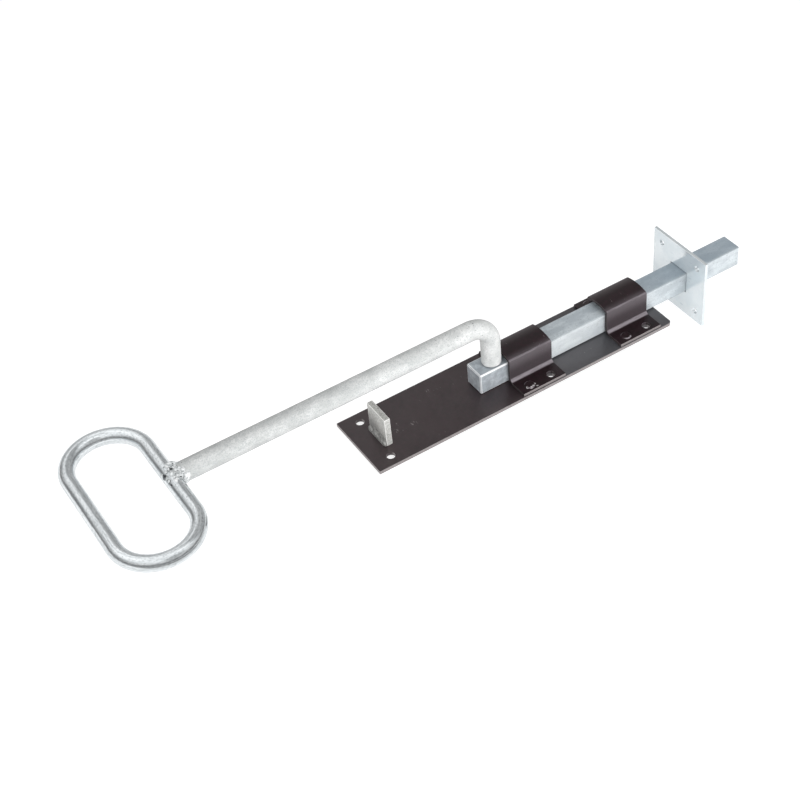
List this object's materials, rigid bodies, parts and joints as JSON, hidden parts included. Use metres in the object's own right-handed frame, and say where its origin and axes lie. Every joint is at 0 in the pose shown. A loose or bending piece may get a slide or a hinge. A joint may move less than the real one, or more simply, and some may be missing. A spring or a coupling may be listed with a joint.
{
  "type": "bow handle door bolt",
  "caption": "Sliding square-bar door bolt in strap guides on a flat back plate, drawn by a long cranked rod with an oval bow grip, with a square keeper plate on its nose.",
  "frame": {"origin": "centre of the back plate's back face, which lies on the door", "axes": "+X along the bar towards its nose, +Y across the plate, +Z off the door"},
  "size_m": [0.5817, 0.1484, 0.0902],
  "materials": {
    "black_coat": "thin satin brown-black coat on sheared steel",
    "bare_steel": "bare sawn mild steel flat",
    "bright_zinc": "bright zinc plate on drawn bar",
    "dull_zinc": "dull, mottled zinc on hot-rolled bar",
    "keeper_zinc": "pale bluish zinc plate on cut sheet",
    "weld_metal": "rough plated-over weld"
  },
  "bodies": {
    "base": {"back_plate": "black_coat", "handle_guide": "black_coat", "nose_guide": "black_coat", "handle_guide_rivet_front": "black_coat", "handle_guide_rivet_rear": "black_coat", "nose_guide_rivet_front": "black_coat", "nose_guide_rivet_rear": "black_coat", "stop_tab": "bare_steel", "stop_tab_weld": "weld_metal"},
    "bolt": {"square_bar": "bright_zinc", "handle_rod": "dull_zinc", "bow_grip": "bright_zinc", "bow_weld_bead": "weld_metal"},
    "keeper": {"keeper_plate": "keeper_zinc"}
  },
  "joints": [
    {"name": "bolt_slide", "type": "slide", "parent": "base", "child": "bolt", "axis": [1, 0, 0], "range_m": [-0.0834, 0]},
    {"name": "keeper_slide", "type": "slide", "parent": "base", "child": "keeper", "axis": [1, 0, 0], "range_m": [-0.032, 0.075]}
  ]
}
